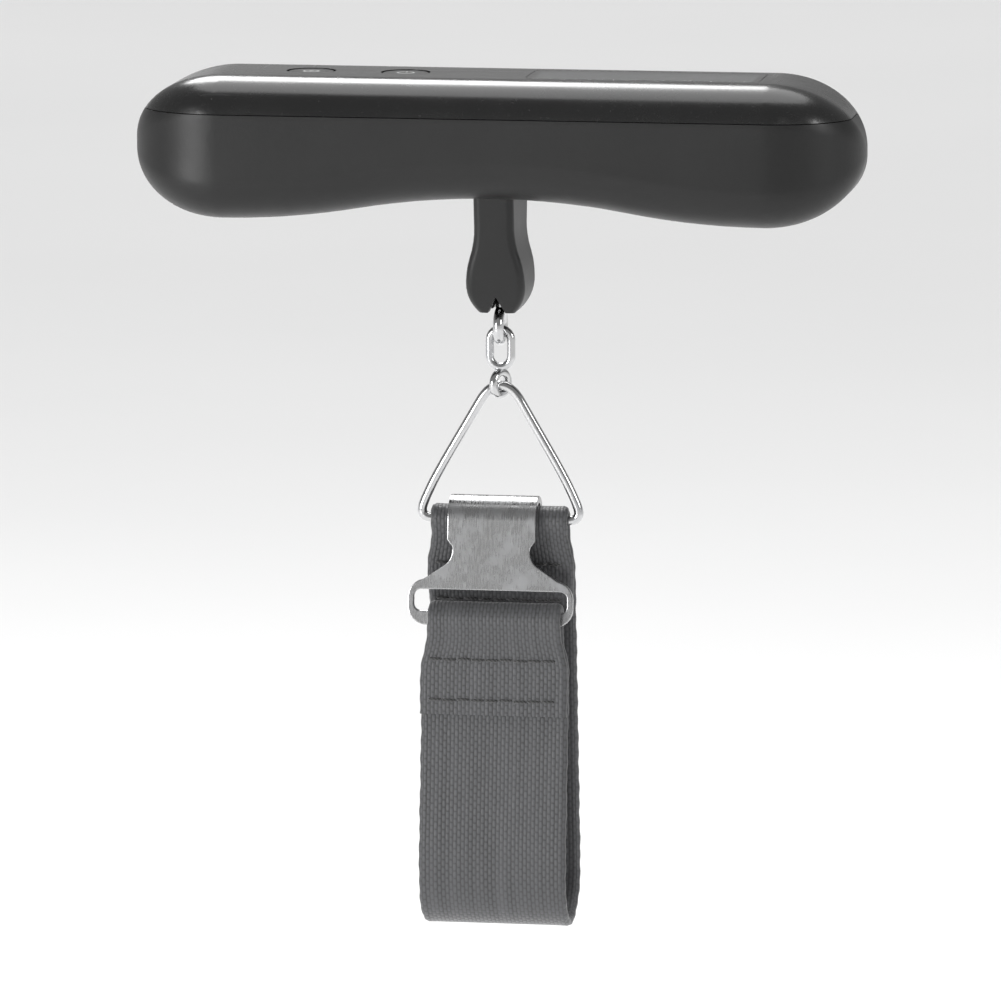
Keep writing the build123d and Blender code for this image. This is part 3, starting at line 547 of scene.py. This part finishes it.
# ================================================================================ webbing ====
def strap_path():
    """The whole strap's centre line in the YZ plane, from the rear tail's end to the front one's."""
    half = WEB_HALF_GAP
    rear_end = Vector((0, LOOP_Y + LOOP_REACH, LOOP_Z))
    rear_start = RING_BASE + Vector((0, half, 0))
    down = (rear_end - rear_start).normalized()
    back = Vector((0, -down.z, down.y))
    eye = 1.9 * MM
    points = [RING_BASE + down * d - back * half for d in (REAR_TAIL, 11 * MM, 7 * MM, 4.6 * MM)]
    lean = math.degrees(math.atan2(-back.z, -back.y))
    points += arc(RING_BASE, eye, lean + 35, lean - 215, 24, "YZ")
    points += [rear_start + down * d for d in (4.6 * MM, 7 * MM, 20 * MM, 40 * MM)]
    middle = Vector((0, LOOP_Y, LOOP_Z))
    points += arc(middle, LOOP_REACH, 0, -176, 40, "YZ")
    front_end = Vector((0, LOOP_Y - LOOP_REACH, SPLIT_Z))
    front_start = CLIP_BAR + Vector((0, half, 0))
    fall = (front_end - front_start).normalized()
    inward = Vector((0, -fall.z, fall.y))
    points += [front_start + fall * d for d in (39 * MM, 30 * MM, 20 * MM, 8 * MM, 5.4 * MM)]
    lean = math.degrees(math.atan2(inward.z, inward.y))
    points += arc(CLIP_BAR, 2.3 * MM, lean - 35, lean + 215, 24, "YZ")
    points += [CLIP_BAR + fall * d - inward * half for d in (5.4 * MM, 8 * MM, 12 * MM, FRONT_TAIL)]
    return soften(resample(points, WEB_STEP), 6)


def band_width(point):
    """The strap's width where it is: pinched in the ring and in the clip's slot."""
    width = WEB_WIDTH
    for centre, narrow in ((RING_BASE, EYE_WIDTH), (CLIP_BAR, FOLD_WIDTH)):
        away = (point - centre).length
        part = min(max((away - 2.2 * MM) / (6.5 * MM), 0.0), 1.0)
        width = min(width, narrow + (WEB_WIDTH - narrow) * part * part * (3 - 2 * part))
    return width


def band(name, path, first, last):
    """A closed webbing mesh along part of a path, with rolled selvedges and a weave map in metres."""
    section = [-1 + 2 * k / WEB_COLUMNS for k in range(WEB_COLUMNS + 1)]
    verts, faces, uvs = [], [], []
    ring = 2 * (WEB_COLUMNS + 1) + 6
    step = (path[1] - path[0]).length
    for k in range(first, last + 1):
        point = path[k]
        distance = k * step
        ahead = path[min(k + 1, len(path) - 1)]
        behind = path[max(k - 1, 0)]
        tangent = (ahead - behind).normalized()
        out = Vector((0, -tangent.z, tangent.y))
        half = band_width(point) / 2 - 0.75 * MM
        thick = WEB_THICK / 2
        jog = 0.05 * MM * math.sin(distance * 2100) + 0.04 * MM * math.sin(distance * 740)
        rows = []
        for part in section:
            swell = 0.06 * MM * (abs(part) ** 10)
            rows.append((part * half, thick + swell, (part * 0.94 + 1) / 2 * WEB_WIDTH))
        for turn in (45, 90, 135):
            reach = 0.75 * MM * math.sin(math.radians(turn)) + jog
            rows.append((half + reach, (thick + 0.06 * MM) * math.cos(math.radians(turn)), WEB_WIDTH))
        for part in reversed(section):
            swell = 0.06 * MM * (abs(part) ** 10)
            rows.append((part * half, -thick - swell, (part * 0.94 + 1) / 2 * WEB_WIDTH))
        for turn in (135, 90, 45):
            reach = 0.75 * MM * math.sin(math.radians(turn)) + jog
            rows.append((-half - reach, (thick + 0.06 * MM) * math.cos(math.radians(turn)), 0.0))
        for x, off, u in rows:
            verts.append(point + Vector((x, 0, 0)) + out * off)
            uvs.append((u, distance))
    for k in range(last - first):
        for s in range(ring):
            a, b = k * ring + s, k * ring + (s + 1) % ring
            faces.append((a, b, b + ring, a + ring))
    for start in (0, (last - first) * ring):
        cap = list(range(start, start + ring))
        faces.append(tuple(cap if start else reversed(cap)))
    obj = new_object(name, verts, faces, uvs)
    ends = (range(ring), range((last - first) * ring, len(verts)))
    for edge in obj.data.edges:
        edge.use_edge_sharp = any(edge.vertices[0] in end and edge.vertices[1] in end for end in ends)
    return obj, (last - first) * step


STITCH_ARCH = (
    (-1.0, -0.30), (-0.8, 0.02), (-0.4, 0.12), (0.0, 0.14), (0.4, 0.12), (0.8, 0.02), (1.0, -0.30)
)


def stitches(name, origin, down, outward, rows, depth):
    """Rows of short sewn threads across both faces of a doubled tail."""
    verts, faces = [], []
    for at in rows:
        for face in (1, -1):
            for k in range(9):
                x = (k - 4) * 2.4 * MM + 0.25 * MM * face
                base = origin + down * at + outward * (depth * face) + Vector((x, 0, 0))
                path = [
                    base + Vector((dx * MM, 0, 0)) + outward * (dz * MM * face)
                    for dx, dz in STITCH_ARCH
                ]
                path = [p + down * (0.08 * MM * math.sin(k * 2.3 + at * 900)) for p in path]
                more, more_faces = tube(path, 0.24 * MM, False, 10)
                shift = len(verts)
                verts += more
                faces += [tuple(i + shift for i in f) for f in more_faces]
    return new_object(name, verts, faces)


def build_strap():
    cloth = webbing_cloth()
    thread = sewing_thread()
    path = strap_path()
    lowest = min(range(len(path)), key=lambda k: path[k].z)
    split = next(k for k in range(lowest, len(path)) if path[k].z > SPLIT_Z)
    rear, rear_length = band("webbing_rear", path, 0, split)
    front, front_length = band("webbing_front", path, split, len(path) - 1)
    finish_piece(rear, cloth, "strap", ["strap_rear_run"])
    finish_piece(front, cloth, None, ["strap_front_run"])
    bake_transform(front)
    half = WEB_HALF_GAP
    down = (Vector((0, LOOP_Y + LOOP_REACH, LOOP_Z)) - RING_BASE - Vector((0, half, 0))).normalized()
    back = Vector((0, -down.z, down.y))
    rear_sewn = stitches("rear_stitches", RING_BASE, down, back, (7.2 * MM, 13.5 * MM), 1.6 * MM)
    finish_piece(rear_sewn, thread, "strap", ["rear_stitching"])
    fall = (Vector((0, LOOP_Y - LOOP_REACH, SPLIT_Z)) - CLIP_BAR - Vector((0, half, 0))).normalized()
    inward = Vector((0, -fall.z, fall.y))
    front_sewn = stitches("front_stitches", CLIP_BAR, fall, inward, (6.8 * MM, 13.6 * MM), 1.6 * MM)
    finish_piece(front_sewn, thread, "clip", ["front_stitching"])


# =============================================================================== the wires ====
def build_ring(steel):
    """The triangular ring: small apex bend, bowed legs, turned-in base corners."""
    apex = Vector((0, 0, -40.25 * MM))
    side = [
        Vector((1.5, 0, -40.65)), Vector((2.75, 0, -41.9)), Vector((5.4, 0, -46.5)),
        Vector((9.2, 0, -53.0)), Vector((11.3, 0, -56.8)), Vector((12.7, 0, -59.8)),
        Vector((13.5, 0, -61.7)), Vector((13.55, 0, -62.6)), Vector((12.9, 0, -63.2)),
    ]
    right = [v * MM for v in side]
    left = [Vector((-v.x, 0, v.z)) for v in reversed(right)]
    path = resample([apex] + right + left + [apex], 0.5 * MM)[:-1]
    verts, faces = tube(soften(path, 8, True), RING_WIRE, True, 24)
    ring = new_object("triangle_ring_wire", verts, faces)
    return finish_piece(ring, steel, "ring", ["triangle_ring"])


def build_link(steel):
    """The twisted wire link: an upright oval above, a round loop turned across it below."""
    top = -32.75 * MM
    low = top - 2.8 * MM
    reach = 1.8 * MM
    oval = arc(Vector((0, 0, top)), reach, 0, 180, 18)
    oval += arc(Vector((0, 0, low)), reach, 180, 360, 18)
    verts, faces = tube(resample(oval + [oval[0]], 0.3 * MM)[:-1], LINK_WIRE, True, 20)
    circle = arc(Vector((0, 0, 0)), 1.9 * MM, 0, 360, 40)[:-1]
    turn = Matrix.Rotation(math.radians(60), 3, "Z")
    circle = [turn @ p + Vector((0, 0, -40.15 * MM)) for p in circle]
    more, more_faces = tube(circle, LINK_WIRE, True, 20)
    faces += [tuple(i + len(verts) for i in f) for f in more_faces]
    link = new_object("twisted_link_wire", verts + more, faces)
    return finish_piece(link, steel, "link", ["twisted_link"])


# ================================================================================ the rest ====
def dress_scale():
    satin = satin_plastic()
    gloss = gloss_plastic()
    smooth_cad("lower_housing", satin, 0.18 * MM, 35)
    smooth_cad("battery_door", satin, 0.15 * MM, 35)
    smooth_cad("top_cover", gloss, 0.15 * MM, 35)
    smooth_cad("display_lens", clear_window(), 0.12 * MM)
    low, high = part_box("lcd_glass")
    glass = display_glass("display_glass", (low + high) / 2)
    smooth_cad("lcd_glass", glass)
    white = plain_plastic("white_plastic", (0.75, 0.76, 0.74, 1), 0.4)
    smooth_cad("lcd_backlight", white)
    dark_frame = plain_plastic("frame_plastic", grey(0.02), 0.35)
    smooth_cad("lcd_frame", dark_frame)
    smooth_cad("zebra_connector", plain_plastic("elastomer", (0.55, 0.5, 0.48, 1), 0.6))
    board = plain_plastic("board_green", (0.01, 0.09, 0.03, 1), 0.35)
    smooth_cad("circuit_board", board)
    epoxy = plain_plastic("epoxy", (0.012, 0.012, 0.012, 1), 0.3)
    smooth_cad("processor_blob", epoxy)
    smooth_cad("amplifier_chip", epoxy)
    smooth_cad("capacitors", plain_plastic("ceramic", (0.35, 0.24, 0.14, 1), 0.4))
    for node, icon in (("power_button", power_icon), ("unit_button", unit_icon)):
        low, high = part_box(node)
        middle = (low + high) / 2
        smooth_cad(node, key_plastic(node + "_cap", icon(middle.x, middle.y)), 0.25 * MM)
    switch = plain_plastic("switch_plastic", (0.02, 0.02, 0.022, 1), 0.4)
    for key in ("power", "unit"):
        smooth_cad(key + "_switch", switch)
        smooth_cad(key + "_switch_plunger", switch)
    smooth_cad("battery_holder", switch)
    cell = plain_metal("cell_steel", (0.62, 0.62, 0.60, 1), 0.25)
    smooth_cad("coin_cell", cell, 0.1 * MM)
    contact = plain_metal("contact_metal", (0.75, 0.70, 0.55, 1), 0.25)
    smooth_cad("battery_contact_positive", contact)
    smooth_cad("battery_contact_negative", contact)
    plate = plain_metal("cell_plate", (0.70, 0.71, 0.72, 1), 0.35)
    smooth_cad("load_cell", plate, 0.1 * MM)
    smooth_cad("strain_gauges", plain_metal("gauge_foil", (0.65, 0.45, 0.20, 1), 0.35))
    smooth_cad("load_cell_wires", plain_plastic("wire_red", (0.45, 0.02, 0.02, 1), 0.4))
    screw = plain_metal("screw_steel", (0.20, 0.20, 0.21, 1), 0.35)
    smooth_cad("housing_screws", screw, 0.08 * MM)


def dress_hanger():
    steel = polished_steel(tone=0.62)
    for node in ("load_cell_pin", "hanger_yoke", "hanger_pin"):
        smooth_cad(node, steel, 0.1 * MM)
    smooth_cad("load_eye", steel)
    build_link(steel)
    build_ring(steel)
    plate = polished_steel("clip_steel", 0.42, 0.20, (8000, 600, 600))
    smooth_cad("strap_clip", plate, 0.22 * MM, flat_faces=True)


# ================================================================================ the room ====
def build_room():
    mesh = bpy.data.meshes.new("floor")
    half = FLOOR_SIZE / 2
    corners = [(x * half, y * half, FLOOR_Z) for x, y in ((-1, -1), (1, -1), (1, 1), (-1, 1))]
    mesh.from_pydata(corners, [], [(0, 1, 2, 3)])
    floor = bpy.data.objects.new("floor", mesh)
    bpy.context.scene.collection.objects.link(floor)
    mesh.materials.append(pale_floor())
    for name, place, size, power in (
        ("key_light", (-0.74, -0.88, 0.04), 0.50, 7.0),
        ("side_light", (1.0, -0.35, 0.30), 0.35, 2.5),
        ("rear_light", (-0.35, 0.75, 0.85), 0.60, 9.0),
    ):
        data = bpy.data.lights.new(name, "AREA")
        data.shape = "DISK"
        data.size = size
        data.energy = power
        light = bpy.data.objects.new(name, data)
        light.location = place
        aim = VIEW_CENTRE - Vector(place)
        light.rotation_euler = aim.to_track_quat("-Z", "Y").to_euler()
        bpy.context.scene.collection.objects.link(light)
    sun = bpy.data.lights.new("high_light", "SUN")
    sun.energy = 2.1
    sun.angle = math.radians(60)
    high = bpy.data.objects.new("high_light", sun)
    high.rotation_euler = (math.radians(-12), 0, 0)
    bpy.context.scene.collection.objects.link(high)
    world = bpy.data.worlds.new("studio")
    world.use_nodes = True
    backdrop = world.node_tree.nodes["Background"]
    links = world.node_tree.links
    heading = world.node_tree.nodes.new("ShaderNodeTexCoord")
    parts = world.node_tree.nodes.new("ShaderNodeSeparateXYZ")
    fade = world.node_tree.nodes.new("ShaderNodeMapRange")
    links.new(heading.outputs["Generated"], parts.inputs[0])
    links.new(parts.outputs[2], fade.inputs[0])
    for index, value in ((1, 0.0), (2, 0.13), (3, HORIZON_LIGHT), (4, ROOM_LIGHT)):
        fade.inputs[index].default_value = value
    links.new(fade.outputs[0], backdrop.inputs[1])
    backdrop.inputs[0].default_value = (1, 1, 1, 1)
    bpy.context.scene.world = world
    bpy.context.scene.view_settings.view_transform = "Standard"


def build_camera():
    azimuth, elevation = math.radians(VIEW_AZIMUTH), math.radians(VIEW_ELEVATION)
    back = Vector((
        math.sin(azimuth) * math.cos(elevation),
        -math.cos(azimuth) * math.cos(elevation),
        math.sin(elevation),
    ))
    data = bpy.data.cameras.new("camera")
    data.sensor_width = SENSOR
    data.lens = SENSOR * VIEW_DISTANCE / VIEW_HEIGHT
    camera = bpy.data.objects.new("camera", data)
    camera.location = VIEW_CENTRE + back * VIEW_DISTANCE
    camera.rotation_euler = (-back).to_track_quat("-Z", "Y").to_euler()
    bpy.context.scene.collection.objects.link(camera)
    bpy.context.scene.camera = camera


dress_scale()
dress_hanger()
build_strap()
build_room()
build_camera()
